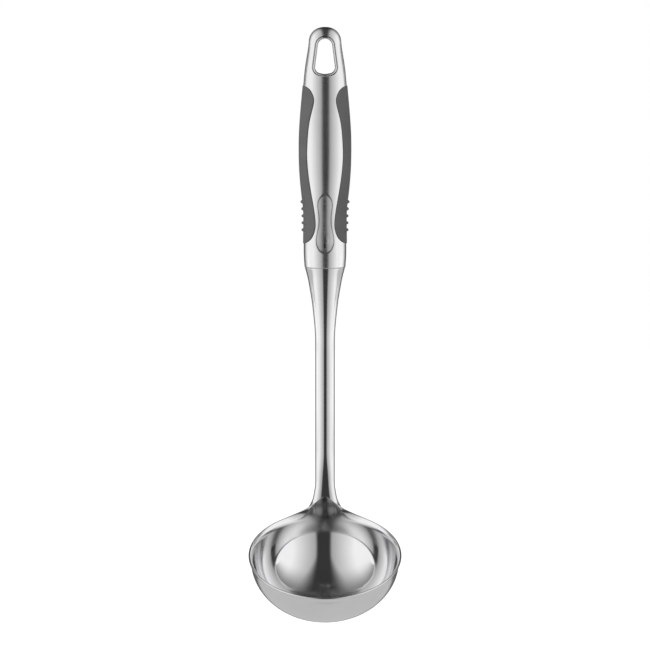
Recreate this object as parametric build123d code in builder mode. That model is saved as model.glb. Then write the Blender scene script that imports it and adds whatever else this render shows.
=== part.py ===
from build123d import *
import os
from math import cos, radians, sin

# A stainless soup ladle, hanging from the hole in its handle.
# Millimetres, +Z up along the handle, -Y towards the side the bowl reaches out to.
# The origin is the hook's seat: the centre of the round top of the hang hole.

# Handle: two pressed steel shells, front and back, that meet on the XZ plane
handle_length = 133.5        # seam with the shaft to the rounded tip
handle_width = 28.9          # across the palm swell
handle_depth = 20.2          # front to back at the palm swell
tip_height = 8.8             # rounded end above the straight flanks
tip_width_power_share = 0.91
tip_depth_power_share = 0.75
tip_turns = (20, 38, 54, 67, 77, 84)
hollow_turns = (20, 38, 54, 67)
shell_wall = 0.8
fit_gap = 0.1                # all round every nested piece
overrun = 5.0                # how far a cutting solid passes what it cuts

# Outline of the handle: height, half width and half depth, each as a share of
# the straight length, half the handle width and half the handle depth
handle_shares = (
    (0.000, 0.801, 0.822),
    (0.040, 0.827, 0.851),
    (0.085, 0.837, 0.880),
    (0.140, 0.834, 0.901),
    (0.205, 0.826, 0.916),
    (0.255, 0.834, 0.936),
    (0.310, 0.882, 0.960),
    (0.370, 0.939, 0.985),
    (0.430, 0.979, 1.000),
    (0.510, 1.000, 1.000),
    (0.590, 0.993, 0.979),
    (0.670, 0.953, 0.921),
    (0.750, 0.894, 0.832),
    (0.830, 0.828, 0.723),
    (0.910, 0.750, 0.614),
    (1.000, 0.630, 0.495),
)

# Hang hole: a rounded trapezoid, and the rolled liner round it
hole_top_radius = 4.0
hole_tip_band = 6.7          # metal between the top of the hole and the tip
hole_length = 19.2
hole_foot_width = 11.0
hole_foot_radius = 5.0
hole_corner_radius = 3.4
hole_corner_rise = 0.35
liner_wall = 1.4
liner_proud = 0.2

# Side windows for the grips: half width and height shares of the inner edge
window_shares = (
    (0.930, 0.819),
    (0.768, 0.810),
    (0.602, 0.796),
    (0.478, 0.773),
    (0.426, 0.748),
    (0.450, 0.726),
    (0.588, 0.661),
    (0.678, 0.573),
    (0.699, 0.516),
    (0.661, 0.434),
    (0.567, 0.355),
    (0.446, 0.275),
    (0.381, 0.219),
    (0.374, 0.187),
    (0.432, 0.156),
    (0.547, 0.131),
    (0.768, 0.111),
    (0.930, 0.104),
)

# Grips: soft mouldings that wrap the core between the shells
grip_wall = 2.2
grip_proud = 0.3
rib_count = 5
rib_pitch = 3.95
rib_first_height = 36.8      # topmost rib, above the seam
rib_bead = 0.85
rib_sweep_radius = 4.5
rib_rise = 1.0
rib_sweep_arc = 140

# Thumb trough pressed into the front shell: height and depth shares
recess_depth = 1.8
recess_reach = 10.0          # axis of the trough in front of the palm swell
recess_shares = (
    (0.350, -0.300),
    (0.328, 0.050),
    (0.308, 0.480),
    (0.284, 0.690),
    (0.250, 0.560),
    (0.209, 0.480),
    (0.172, 0.660),
    (0.131, 0.980),
    (0.092, 0.500),
    (0.068, 0.020),
    (0.052, -0.400),
)

# Nylon core and the welding sleeve, both hidden inside the handle
core_head_gap = 1.2          # below the hang hole's liner
sleeve_up = 6.0
sleeve_down = 7.0
sleeve_wall = 1.4

# Shaft: an oval tube, swaged out to a neck above and a fishtail below
shaft_length = 158.8
neck_width = 22.9
neck_depth = 16.4
shaft_width = 11.3
shaft_depth = 8.0
shaft_wall = 1.0
root_width = 24.4
root_depth = 14.9

# Neck: drop below the seam as a share of its length, then where half width and
# half depth stand between the shaft's own, 0, and the neck's, 1
neck_length = 40.0
neck_shares = (
    (0.000, 1.000, 1.000),
    (0.125, 0.767, 0.750),
    (0.250, 0.595, 0.548),
    (0.375, 0.445, 0.393),
    (0.500, 0.310, 0.250),
    (0.625, 0.210, 0.143),
    (0.750, 0.120, 0.071),
    (0.875, 0.045, 0.024),
    (1.000, 0.000, 0.000),
)

# Fishtail: drop, half width and half depth in the same way, and how far the
# middle of the section has moved to the front
root_length = 37.0
root_front_shift = 4.5
root_shares = (
    (0.000, 0.000, 0.000, 0.000),
    (0.100, 0.011, 0.014, 0.011),
    (0.200, 0.084, 0.050, 0.049),
    (0.300, 0.191, 0.081, 0.096),
    (0.400, 0.420, 0.226, 0.251),
    (0.500, 0.786, 0.719, 0.696),
    (0.600, 0.985, 1.000, 0.989),
    (0.700, 0.863, 0.899, 1.000),
    (0.800, 0.527, 0.362, 0.722),
    (0.900, 0.084, -0.203, 0.489),
    (1.000, -0.435, -0.696, 0.444),
)

# Bowl: a drawn half ellipsoid with a flared lip, tilted towards the front
bowl_radius = 41.0           # outside, below the lip
bowl_depth = 34.3            # rim plane to the outside of the bottom
bowl_wall = 1.0
bowl_turn = 85               # of the side's arc, which leaves a small flat below
bowl_tilt = 18.25
lip_height = 3.4
lip_turn = 50
rim_drop = 277.5             # rim's centre below the hook's seat

# Tongue: the bowl's own sheet, drawn up over the front of the shaft
tongue_rise = 10.0
tongue_wall = 0.75
tongue_set_in = 0.125
tongue_root = 1.0
tongue_bite = 0.1            # how deep its top sits into the shaft's front
tongue_half_width = 24.0
tongue_height = 14.6
tongue_spare_turn = 3        # bent this far past upright before the bell trims it

# Bell outline of the tongue: half width and drop shares from its top
tongue_shares = (
    (0.000, 0.000),
    (0.110, 0.070),
    (0.205, 0.200),
    (0.325, 0.330),
    (0.460, 0.507),
    (0.617, 0.685),
    (0.780, 0.830),
    (1.000, 1.000),
)

# Dish pressed square into the root of the tongue by an elliptical punch: round
# below its middle, and open above it into a channel that fades as the tongue bends
dish_depth = 1.1
dish_rise = 1.2              # its middle above the rim plane
punch_radius = 7.8
punch_nose = 4.0
punch_turn = 80
channel_length = 14.0

half_width = handle_width / 2
half_depth = handle_depth / 2
straight_length = handle_length - tip_height
tip_top = hole_top_radius + hole_tip_band
seam_level = tip_top - handle_length
cut_depth = handle_depth + overrun
neck_level = seam_level - neck_length
root_level = seam_level - shaft_length + root_length


def handle_level(share):
    """Level of a height share above the seam."""
    return seam_level + straight_length * share


def handle_section(share):
    """Half width and half depth of the handle at a height share."""
    below = [row for row in handle_shares if row[0] <= share][-1]
    above = [row for row in handle_shares if row[0] >= share][0]
    span = above[0] - below[0]
    blend = (share - below[0]) / span if span else 0
    width_share = below[1] + blend * (above[1] - below[1])
    depth_share = below[2] + blend * (above[2] - below[2])
    return half_width * width_share, half_depth * depth_share


def handle_stations(turns=()):
    """Sections of the handle, and of its rounded tip at the turns given.

    Each has its level, half width, half depth and shift to the front.
    """
    rows = [
        (handle_level(height), half_width * wide, half_depth * deep, 0)
        for height, wide, deep in handle_shares
    ]
    top_level, top_width, top_depth, shift = rows[-1]
    for turn in turns:
        rise = sin(radians(turn)) ** tip_width_power_share
        narrow = cos(radians(turn))
        rows.append((
            top_level + tip_height * rise,
            top_width * narrow ** tip_width_power_share,
            top_depth * narrow ** tip_depth_power_share,
            shift,
        ))
    return rows


def neck_stations():
    """Sections of the shaft from the seam down to its plain oval."""
    return [
        (
            seam_level - neck_length * drop,
            (shaft_width + (neck_width - shaft_width) * wide) / 2,
            (shaft_depth + (neck_depth - shaft_depth) * deep) / 2,
            0,
        )
        for drop, wide, deep in neck_shares
    ]


def root_stations():
    """Sections of the fishtail, with their shift to the front."""
    return [
        (
            root_level - root_length * drop,
            (shaft_width + (root_width - shaft_width) * wide) / 2,
            (shaft_depth + (root_depth - shaft_depth) * deep) / 2,
            -root_front_shift * shift,
        )
        for drop, wide, deep, shift in root_shares
    ]


def oval_loft(stations, inset=0):
    """Smooth solid through oval sections, each drawn in by the inset."""
    with BuildPart() as body:
        for level, wide, deep, shift in stations:
            with BuildSketch(Plane.XY.offset(level)):
                with Locations((0, shift)):
                    Ellipse(wide - inset, deep - inset)
        loft()
    return body.part


def slab(low, high):
    """Block that keeps what lies between two levels."""
    with BuildPart() as block:
        with BuildSketch(Plane.XY.offset(low)):
            Rectangle(handle_width + neck_width, cut_depth + neck_depth)
        extrude(amount=high - low)
    return block.part


def hole_prism(grow):
    """The hang hole's outline, grown outwards and carried through the handle."""
    foot = hole_top_radius - hole_length
    with BuildPart() as prism:
        with BuildSketch(Plane.XZ):
            Circle(hole_top_radius + grow)
            with Locations((0, foot + hole_foot_radius)):
                Circle(hole_foot_radius + grow)
            corner = hole_foot_width / 2 - hole_corner_radius
            with Locations(
                (-corner, foot + hole_corner_rise + hole_corner_radius),
                (corner, foot + hole_corner_rise + hole_corner_radius),
            ):
                Circle(hole_corner_radius + grow)
            make_hull()
        extrude(amount=cut_depth, both=True)
    return prism.part


def window_prism(side, grow):
    """One side window, grown outwards and carried through the handle."""
    edge_points = [
        (side * (half_width * wide - grow), handle_level(height))
        for wide, height in window_shares
    ]
    edge_points[0] = (edge_points[0][0], edge_points[0][1] + grow)
    edge_points[-1] = (edge_points[-1][0], edge_points[-1][1] - grow)
    outside = side * handle_width
    with BuildPart() as prism:
        with BuildSketch(Plane.XZ):
            with BuildLine():
                Spline(*edge_points)
                Polyline(
                    edge_points[-1],
                    (outside, edge_points[-1][1]),
                    (outside, edge_points[0][1]),
                    edge_points[0],
                )
            make_face()
        extrude(amount=cut_depth, both=True)
    return prism.part


def recess_form(grow):
    """Bottle-shaped solid, standing in front, that presses the thumb trough."""
    axis_y = -(half_depth + recess_reach)
    profile = [
        (
            half_depth + recess_reach - handle_section(height)[1]
            + recess_depth * deep + grow,
            handle_level(height),
        )
        for height, deep in recess_shares
    ]
    with BuildPart() as form:
        with BuildSketch(Plane((0, axis_y, 0), x_dir=(1, 0, 0), z_dir=(0, -1, 0))):
            with BuildLine():
                Spline(*profile)
                Polyline(profile[-1], (0, profile[-1][1]), (0, profile[0][1]), profile[0])
            make_face()
        revolve(axis=Axis((0, axis_y, 0), (0, 0, 1)))
    return form.part


# The bowl's own frame: x to the right and y out through the rim, or y down into
# the bowl where depths are drawn
tilt = radians(bowl_tilt)
body_height = bowl_depth - lip_height
tongue_curve = (tongue_rise + lip_height) / sin(tilt)
tongue_back_radius = bowl_radius - tongue_set_in + tongue_curve * (1 - cos(tilt))
rim_y = (
    tongue_bite - shaft_depth / 2
    - tongue_back_radius * cos(tilt) + tongue_rise * sin(tilt)
)
rim_centre = Vector(0, rim_y, -rim_drop)
rim_normal = Vector(0, -sin(tilt), cos(tilt))
rim_outward = Vector(0, cos(tilt), sin(tilt))
bowl_section = Plane(rim_centre, x_dir=(1, 0, 0), z_dir=-rim_outward)
bowl_depths = Plane(rim_centre, x_dir=(1, 0, 0), z_dir=rim_outward)
bowl_axis = Axis(rim_centre, rim_normal)
lip_curve = lip_height / sin(radians(lip_turn)) - bowl_wall / 2
tongue_top = (
    -rim_drop
    + tongue_back_radius * sin(tilt) + tongue_rise * cos(tilt)
)


def bowl_form(inset):
    """Solid half ellipsoid below the lip, drawn in by the inset."""
    with BuildPart() as form:
        with BuildSketch(bowl_depths):
            with BuildLine():
                arc = EllipticalCenterArc(
                    (0, lip_height), bowl_radius - inset, body_height - inset,
                    arc_size=bowl_turn,
                )
                Polyline(arc @ 1, (0, (arc @ 1).Y), (0, lip_height), arc @ 0)
            make_face()
        revolve(axis=bowl_axis)
    return form.part


def tongue_sheet(front_radius, back_radius):
    """Sheet round the bowl's axis that bends back until it runs along the shaft."""
    turn = tilt + radians(tongue_spare_turn)
    root = -lip_height - tongue_root
    head = tongue_curve * sin(turn) - lip_height
    lean = tongue_curve * (1 - cos(turn))
    ends = ((0, 1), (sin(turn), cos(turn)))
    with BuildPart() as sheet:
        with BuildSketch(bowl_section):
            with BuildLine():
                front = Spline(
                    (front_radius, -lip_height), (front_radius + lean, head), tangents=ends
                )
                back = Spline(
                    (back_radius, -lip_height), (back_radius + lean, head), tangents=ends
                )
                Line(front @ 1, back @ 1)
                Polyline(front @ 0, (front_radius, root), (back_radius, root), back @ 0)
            make_face()
        revolve(axis=bowl_axis)
    return sheet.part


def tongue_bell(grow):
    """Bell-shaped prism that trims the tongue, carried through to the back."""
    drop_points = [
        (tongue_half_width * wide, tongue_top + grow - tongue_height * drop)
        for wide, drop in tongue_shares
    ]
    right = [(x + (grow if x else 0), z) for x, z in drop_points]
    left = [(-x, z) for x, z in reversed(right[1:])]
    low = -rim_drop - lip_height - overrun
    with BuildPart() as bell:
        with BuildSketch(Plane.XZ):
            with BuildLine():
                Spline(*left, *right)
                Polyline(right[-1], (right[-1][0], low), (left[0][0], low), left[0])
            make_face()
        extrude(amount=root_depth + overrun, both=True)
    return bell.part


handle_body = oval_loft(handle_stations(tip_turns))
handle_hollow = oval_loft(handle_stations(hollow_turns), shell_wall)
windows = [window_prism(side, 0) for side in (-1, 1)]
liner_seat = hole_prism(liner_wall + fit_gap)

with BuildPart() as front_hollow:
    add(handle_hollow)
    add(recess_form(shell_wall), mode=Mode.SUBTRACT)
with BuildPart() as handle_front_shell:
    add(handle_body)
    add(recess_form(0), mode=Mode.SUBTRACT)
    add(front_hollow.part, mode=Mode.SUBTRACT)
    split(bisect_by=Plane.XZ)
    add(windows, mode=Mode.SUBTRACT)
    add(liner_seat, mode=Mode.SUBTRACT)
handle_front_shell.part.label = "handle_front_shell"

with BuildPart() as handle_back_shell:
    add(handle_body)
    add(handle_hollow, mode=Mode.SUBTRACT)
    split(bisect_by=Plane.XZ, keep=Keep.BOTTOM)
    add(windows, mode=Mode.SUBTRACT)
    add(liner_seat, mode=Mode.SUBTRACT)
handle_back_shell.part.label = "handle_back_shell"

# The liner follows the shells and stands a little proud of them
with BuildPart() as hang_liner:
    add(hole_prism(liner_wall))
    add(hole_prism(0), mode=Mode.SUBTRACT)
    add(oval_loft(handle_stations(tip_turns), -liner_proud), mode=Mode.INTERSECT)
hang_liner.part.label = "hang_liner"

# The core fills the hollow between liner and sleeve, stepped back under the grips
core_head = hole_top_radius - hole_length - liner_wall - core_head_gap
core_foot = seam_level + sleeve_up + fit_gap
with BuildPart() as handle_core:
    add(oval_loft(handle_stations(), shell_wall + fit_gap))
    add([window_prism(side, fit_gap) for side in (-1, 1)], mode=Mode.SUBTRACT)
    add(oval_loft(handle_stations(), grip_wall + fit_gap))
    add(slab(core_foot, core_head), mode=Mode.INTERSECT)
    add(recess_form(shell_wall + fit_gap), mode=Mode.SUBTRACT)
handle_core.part.label = "handle_core"


def grip(side):
    """One grip: a proud skin with finger ribs, cut to its window."""
    with BuildPart() as skin:
        add(oval_loft(handle_stations(), -grip_proud))
        for number in range(rib_count):
            height = rib_first_height - rib_pitch * number
            flank = handle_section(height / straight_length)[0] + grip_proud
            centre = flank + rib_rise - rib_bead - rib_sweep_radius
            facing = 0 if side > 0 else 180
            with Locations((side * centre, 0, seam_level + height)):
                Torus(
                    rib_sweep_radius, rib_bead, major_angle=rib_sweep_arc,
                    rotation=(0, 0, facing - rib_sweep_arc / 2), align=None,
                )
        add(window_prism(side, -fit_gap), mode=Mode.INTERSECT)
        add(oval_loft(handle_stations(), grip_wall), mode=Mode.SUBTRACT)
    return skin.part


with BuildPart() as grip_left:
    add(grip(-1))
grip_left.part.label = "grip_left"

with BuildPart() as grip_right:
    add(grip(1))
grip_right.part.label = "grip_right"

# The sleeve bridges the seam: it fits the handle above and the neck below
handle_fit = shell_wall + fit_gap
neck_fit = shaft_wall + fit_gap
sleeve_head = seam_level + sleeve_up
sleeve_foot = seam_level - sleeve_down
with BuildPart() as sleeve_upper:
    add(oval_loft(handle_stations(), handle_fit))
    add(slab(seam_level, sleeve_head), mode=Mode.INTERSECT)
    add(oval_loft(handle_stations(), handle_fit + sleeve_wall), mode=Mode.SUBTRACT)
with BuildPart() as sleeve_lower:
    add(oval_loft(neck_stations(), neck_fit))
    add(slab(sleeve_foot, seam_level), mode=Mode.INTERSECT)
    add(oval_loft(neck_stations(), neck_fit + sleeve_wall), mode=Mode.SUBTRACT)
with BuildPart() as joint_sleeve:
    add(sleeve_upper.part)
    add(sleeve_lower.part)
joint_sleeve.part.label = "joint_sleeve"

# Where the dish is pressed: the sheet's front face at the dish's level, with the
# directions that run up along the sheet and square into it there
dish_sine = (dish_rise + lip_height) / (tongue_curve + tongue_wall)
dish_cosine = (1 - dish_sine ** 2) ** 0.5
dish_upward = rim_normal * dish_cosine + rim_outward * dish_sine
dish_inward = rim_outward * dish_cosine - rim_normal * dish_sine
tongue_back = bowl_radius - tongue_set_in
tongue_front = tongue_back - tongue_wall
dish_face = tongue_back + tongue_curve - (tongue_curve + tongue_wall) * dish_cosine
punch_centre = (
    rim_centre + rim_outward * dish_face + rim_normal * dish_rise
    + dish_inward * (dish_depth - punch_nose)
)


def dish_punch(grow):
    """Elliptical punch that presses the dish, grown for the sheet behind it."""
    with BuildSketch(Plane(punch_centre, x_dir=(1, 0, 0), z_dir=dish_upward)) as half_nose:
        with BuildLine():
            arc = EllipticalCenterArc(
                (0, 0), punch_radius + grow, punch_nose + grow, arc_size=punch_turn
            )
            Polyline(arc @ 1, (0, (arc @ 1).Y), (0, 0), arc @ 0)
        make_face()
    with BuildPart() as punch:
        add(half_nose.sketch)
        revolve(axis=Axis(punch_centre, dish_inward))
        add(half_nose.sketch)
        mirror(half_nose.sketch, about=Plane.YZ)
        extrude(amount=channel_length, dir=dish_upward)
    return punch.part


def shaft_form(inset):
    """Neck and plain tube, drawn in by the inset."""
    with BuildPart() as form:
        add(oval_loft(neck_stations(), inset))
        with BuildSketch(Plane.XY.offset(root_level)):
            Ellipse(shaft_width / 2 - inset, shaft_depth / 2 - inset)
        extrude(amount=neck_level - root_level)
    return form.part


with BuildPart() as tongue_room:
    add(tongue_sheet(bowl_radius - root_depth, tongue_back + fit_gap))
    add(tongue_bell(fit_gap), mode=Mode.INTERSECT)
with BuildPart() as shaft:
    add(shaft_form(0))
    add(oval_loft(root_stations()))
    add(shaft_form(shaft_wall), mode=Mode.SUBTRACT)
    add(oval_loft(root_stations(), shaft_wall), mode=Mode.SUBTRACT)
    add(bowl_form(-fit_gap), mode=Mode.SUBTRACT)
    add(tongue_room.part, mode=Mode.SUBTRACT)
    add(dish_punch(tongue_wall + fit_gap), mode=Mode.SUBTRACT)
shaft.part.label = "shaft"

with BuildPart() as tongue:
    add(tongue_sheet(tongue_front, tongue_back))
    add(tongue_bell(0), mode=Mode.INTERSECT)
with BuildPart() as dish_back:
    add(tongue_sheet(tongue_front + tongue_wall / 2, tongue_back + dish_depth))
    add(tongue_bell(0), mode=Mode.INTERSECT)
    add(dish_punch(tongue_wall), mode=Mode.INTERSECT)
with BuildPart() as bowl:
    with BuildSketch(bowl_section):
        with BuildLine():
            lip_centre = (bowl_radius + lip_curve, -lip_height)
            lip_inside = CenterArc(lip_centre, lip_curve + bowl_wall, 180, -lip_turn)
            lip_outside = CenterArc(lip_centre, lip_curve, 180, -lip_turn)
            Line(lip_inside @ 0, lip_outside @ 0)
            TangentArc(lip_inside @ 1, lip_outside @ 1, tangent=lip_inside % 1)
        make_face()
    revolve(axis=bowl_axis)
    add(oval_loft(root_stations(), -fit_gap), mode=Mode.SUBTRACT)
    add(bowl_form(0))
    add(bowl_form(bowl_wall), mode=Mode.SUBTRACT)
    add(tongue.part)
    add(dish_back.part)
    add(dish_punch(0), mode=Mode.SUBTRACT)
bowl.part.label = "bowl"

os.makedirs("parts", exist_ok=True)
for piece in (
    handle_front_shell, handle_back_shell, hang_liner, handle_core,
    grip_left, grip_right, joint_sleeve, shaft, bowl,
):
    export_step(piece.part, f"parts/{piece.part.label}.step")
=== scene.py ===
"""Looks of a stainless soup ladle that hangs from the hole in its handle.

Every surface is a function of two parameters, worked out with numpy on a grid and laid over the
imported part. Lengths are in millimetres until a mesh is made, and +Z runs up the handle, with -Y
towards the side that the bowl reaches out to.
"""

from __future__ import annotations

import logging
from collections.abc import Sequence
from dataclasses import dataclass, field
from enum import Enum
from math import cos, pi, radians, sin

import bmesh
import bpy
import numpy as np
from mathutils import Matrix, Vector

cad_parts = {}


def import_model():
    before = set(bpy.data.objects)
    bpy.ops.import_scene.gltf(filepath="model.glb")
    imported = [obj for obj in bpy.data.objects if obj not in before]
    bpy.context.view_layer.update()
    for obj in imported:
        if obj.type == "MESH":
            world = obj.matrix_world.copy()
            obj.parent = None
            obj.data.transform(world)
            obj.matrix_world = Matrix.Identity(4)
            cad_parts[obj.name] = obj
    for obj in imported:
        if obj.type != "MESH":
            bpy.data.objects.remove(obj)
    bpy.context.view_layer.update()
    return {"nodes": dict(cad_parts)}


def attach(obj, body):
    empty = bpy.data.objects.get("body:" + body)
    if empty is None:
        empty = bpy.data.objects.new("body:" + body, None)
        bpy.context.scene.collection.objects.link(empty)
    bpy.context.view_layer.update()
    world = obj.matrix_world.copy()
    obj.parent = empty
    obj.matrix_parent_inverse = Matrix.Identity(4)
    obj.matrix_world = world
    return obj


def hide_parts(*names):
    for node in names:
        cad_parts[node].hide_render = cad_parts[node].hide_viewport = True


LOG = logging.getLogger("soup_ladle")
METRES = 0.001
MIX_COLOUR_A, MIX_COLOUR_B, MIX_COLOUR_OUT = 6, 7, 2


class Side(Enum):
    """Which flank a piece belongs to; the value is its sign along X."""

    LEFT = -1
    RIGHT = 1


class Half(Enum):
    """Which pressing of the handle; the value is its sign along Y."""

    FRONT = -1
    BACK = 1


def linked_object(name: str, data: bpy.types.ID) -> bpy.types.Object:
    """New object on its data, in the scene."""
    thing = bpy.data.objects.new(name, data)
    bpy.context.scene.collection.objects.link(thing)
    return thing


# Curves and meshes


def smooth_curve(knots: np.ndarray, values: np.ndarray, places: np.ndarray) -> np.ndarray:
    """Curve through the values with no kink in its slope or its bend.

    Between two knots the value is the straight line from one to the other plus
    (a^3 - a) * M * h^2 / 6 for each knot, where M is the bend at the knot, h the span, and a
    falls from 1 at that knot to 0 at the other. The bends make the slopes meet at every knot.

    Args:
        knots: Rising places of the values, one number each.
        values: One row of numbers for each knot.
        places: Where the curve is wanted.

    Returns:
        One row of numbers for each place.
    """
    spans = np.diff(knots)
    slopes = np.diff(values, axis=0) / spans[:, None]
    inner = np.arange(1, len(knots) - 1)
    system = np.eye(len(knots))
    system[inner, inner - 1] = spans[:-1]
    system[inner, inner] = 2 * (spans[:-1] + spans[1:])
    system[inner, inner + 1] = spans[1:]
    wanted = np.zeros_like(values)
    wanted[inner] = 6 * np.diff(slopes, axis=0)
    bends = np.linalg.solve(system, wanted)
    low = np.clip(np.searchsorted(knots, places) - 1, 0, len(knots) - 2)
    high_part = ((places - knots[low]) / spans[low])[:, None]
    low_part = 1 - high_part
    cubic = (low_part**3 - low_part) * bends[low] + (high_part**3 - high_part) * bends[low + 1]
    line = low_part * values[low] + high_part * values[low + 1]
    return line + cubic * spans[low][:, None] ** 2 / 6


def curve_through(points: np.ndarray, count: int) -> np.ndarray:
    """Smooth curve through points, evenly sampled by the length of the chords.

    Args:
        points: One point in each row.
        count: How many samples.

    Returns:
        The samples, one in each row.
    """
    steps = np.linalg.norm(np.diff(points, axis=0), axis=1)
    knots = np.concatenate(([0.0], np.cumsum(steps)))
    return smooth_curve(knots, points, np.linspace(0, knots[-1], count))


def ease(values: np.ndarray, low: float, high: float) -> np.ndarray:
    """Share that rises smoothly from 0 at low to 1 at high, as 3 s^2 - 2 s^3."""
    share = np.clip((values - low) / (high - low), 0, 1)
    return share * share * (3 - 2 * share)


def soft_max(first: np.ndarray, second: np.ndarray, radius: float) -> np.ndarray:
    """The larger of two heights, with the crease between them rounded by the radius."""
    gap = np.clip(np.abs(first - second) / radius, 0, 40)
    return np.maximum(first, second) + radius * np.log1p(np.exp(-gap))


def with_rows_near(places: np.ndarray, levels: Sequence[float], reach: float) -> np.ndarray:
    """The places with more of them close to each level, where an outline turns in fast."""
    steps = reach * np.linspace(-1, 1, 13) ** 3
    extra = (np.asarray(levels)[:, None] + steps).ravel()
    joined = np.sort(np.concatenate((places, extra[(extra > places[0]) & (extra < places[-1])])))
    keep = np.concatenate(([True], np.diff(joined) > 0.004))
    keep[-1] = True
    return joined[keep]


def loop_faces(rows: int, columns: int) -> np.ndarray:
    """Quads of a grid whose columns close on themselves, row by row.

    Args:
        rows: Number of rows.
        columns: Number of points round each row.

    Returns:
        Four point numbers for each quad, as rows - 1 by columns by 4.
    """
    row, column = np.meshgrid(np.arange(rows - 1), np.arange(columns), indexing="ij")
    following = (column + 1) % columns
    return np.stack(
        (
            row * columns + column,
            row * columns + following,
            (row + 1) * columns + following,
            (row + 1) * columns + column,
        ),
        axis=-1,
    )


def cap_faces(first: int, columns: int) -> np.ndarray:
    """Quads that close a row whose second half runs back beside its first half."""
    near = np.arange(columns // 2 - 1)
    far = columns - 1 - near
    return np.stack((near, near + 1, far - 1, far), axis=-1) + first


@dataclass
class Surface:
    """Points and quads of a piece, in millimetres, before they go into a mesh."""

    points: np.ndarray
    quads: np.ndarray
    finish_of_quad: np.ndarray | None = None
    marks: dict[str, np.ndarray] = field(default_factory=dict)

    def mirrored(self) -> Surface:
        """The same surface on the other side of the YZ plane."""
        return Surface(self.points * (-1, 1, 1), self.quads[:, ::-1], self.finish_of_quad)

    def joined(self, other: Surface) -> Surface:
        """Both surfaces as one."""
        quads = np.concatenate((self.quads, other.quads + len(self.points)))
        points = np.concatenate((self.points, other.points))
        return Surface(points, quads, np.concatenate((self.finish_of_quad, other.finish_of_quad)))

    def to_object(self, name: str, materials: Sequence[bpy.types.Material]) -> bpy.types.Object:
        """Puts the surface into a mesh in metres, closes its seams and turns its faces outwards.

        Args:
            name: Name of the piece.
            materials: Its finishes, in the order of finish_of_quad.

        Returns:
            The new object, at the origin.
        """
        mesh = bpy.data.meshes.new(name)
        mesh.vertices.add(len(self.points))
        mesh.vertices.foreach_set("co", (self.points * METRES).astype(np.float32).ravel())
        mesh.loops.add(self.quads.size)
        mesh.loops.foreach_set("vertex_index", self.quads.astype(np.int32).ravel())
        mesh.polygons.add(len(self.quads))
        starts = np.arange(0, self.quads.size, 4, dtype=np.int32)
        mesh.polygons.foreach_set("loop_start", starts)
        if self.finish_of_quad is not None:
            mesh.polygons.foreach_set("material_index", self.finish_of_quad.astype(np.int32))
        for mark, values in self.marks.items():
            kind, key = ("FLOAT", "value") if values.ndim == 1 else ("FLOAT_VECTOR", "vector")
            layer = mesh.attributes.new(mark, kind, "POINT")
            layer.data.foreach_set(key, values.astype(np.float32).ravel())
        mesh.update(calc_edges=True)
        for material in materials:
            mesh.materials.append(material)
        work = bmesh.new()
        work.from_mesh(mesh)
        bmesh.ops.remove_doubles(work, verts=work.verts, dist=2e-6)
        bmesh.ops.dissolve_degenerate(work, edges=work.edges, dist=1e-7)
        bmesh.ops.recalc_face_normals(work, faces=work.faces)
        work.to_mesh(mesh)
        work.free()
        mesh.polygons.foreach_set("use_smooth", np.ones(len(mesh.polygons), dtype=bool))
        mesh.update()
        return linked_object(name, mesh)


# Finishes


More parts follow.
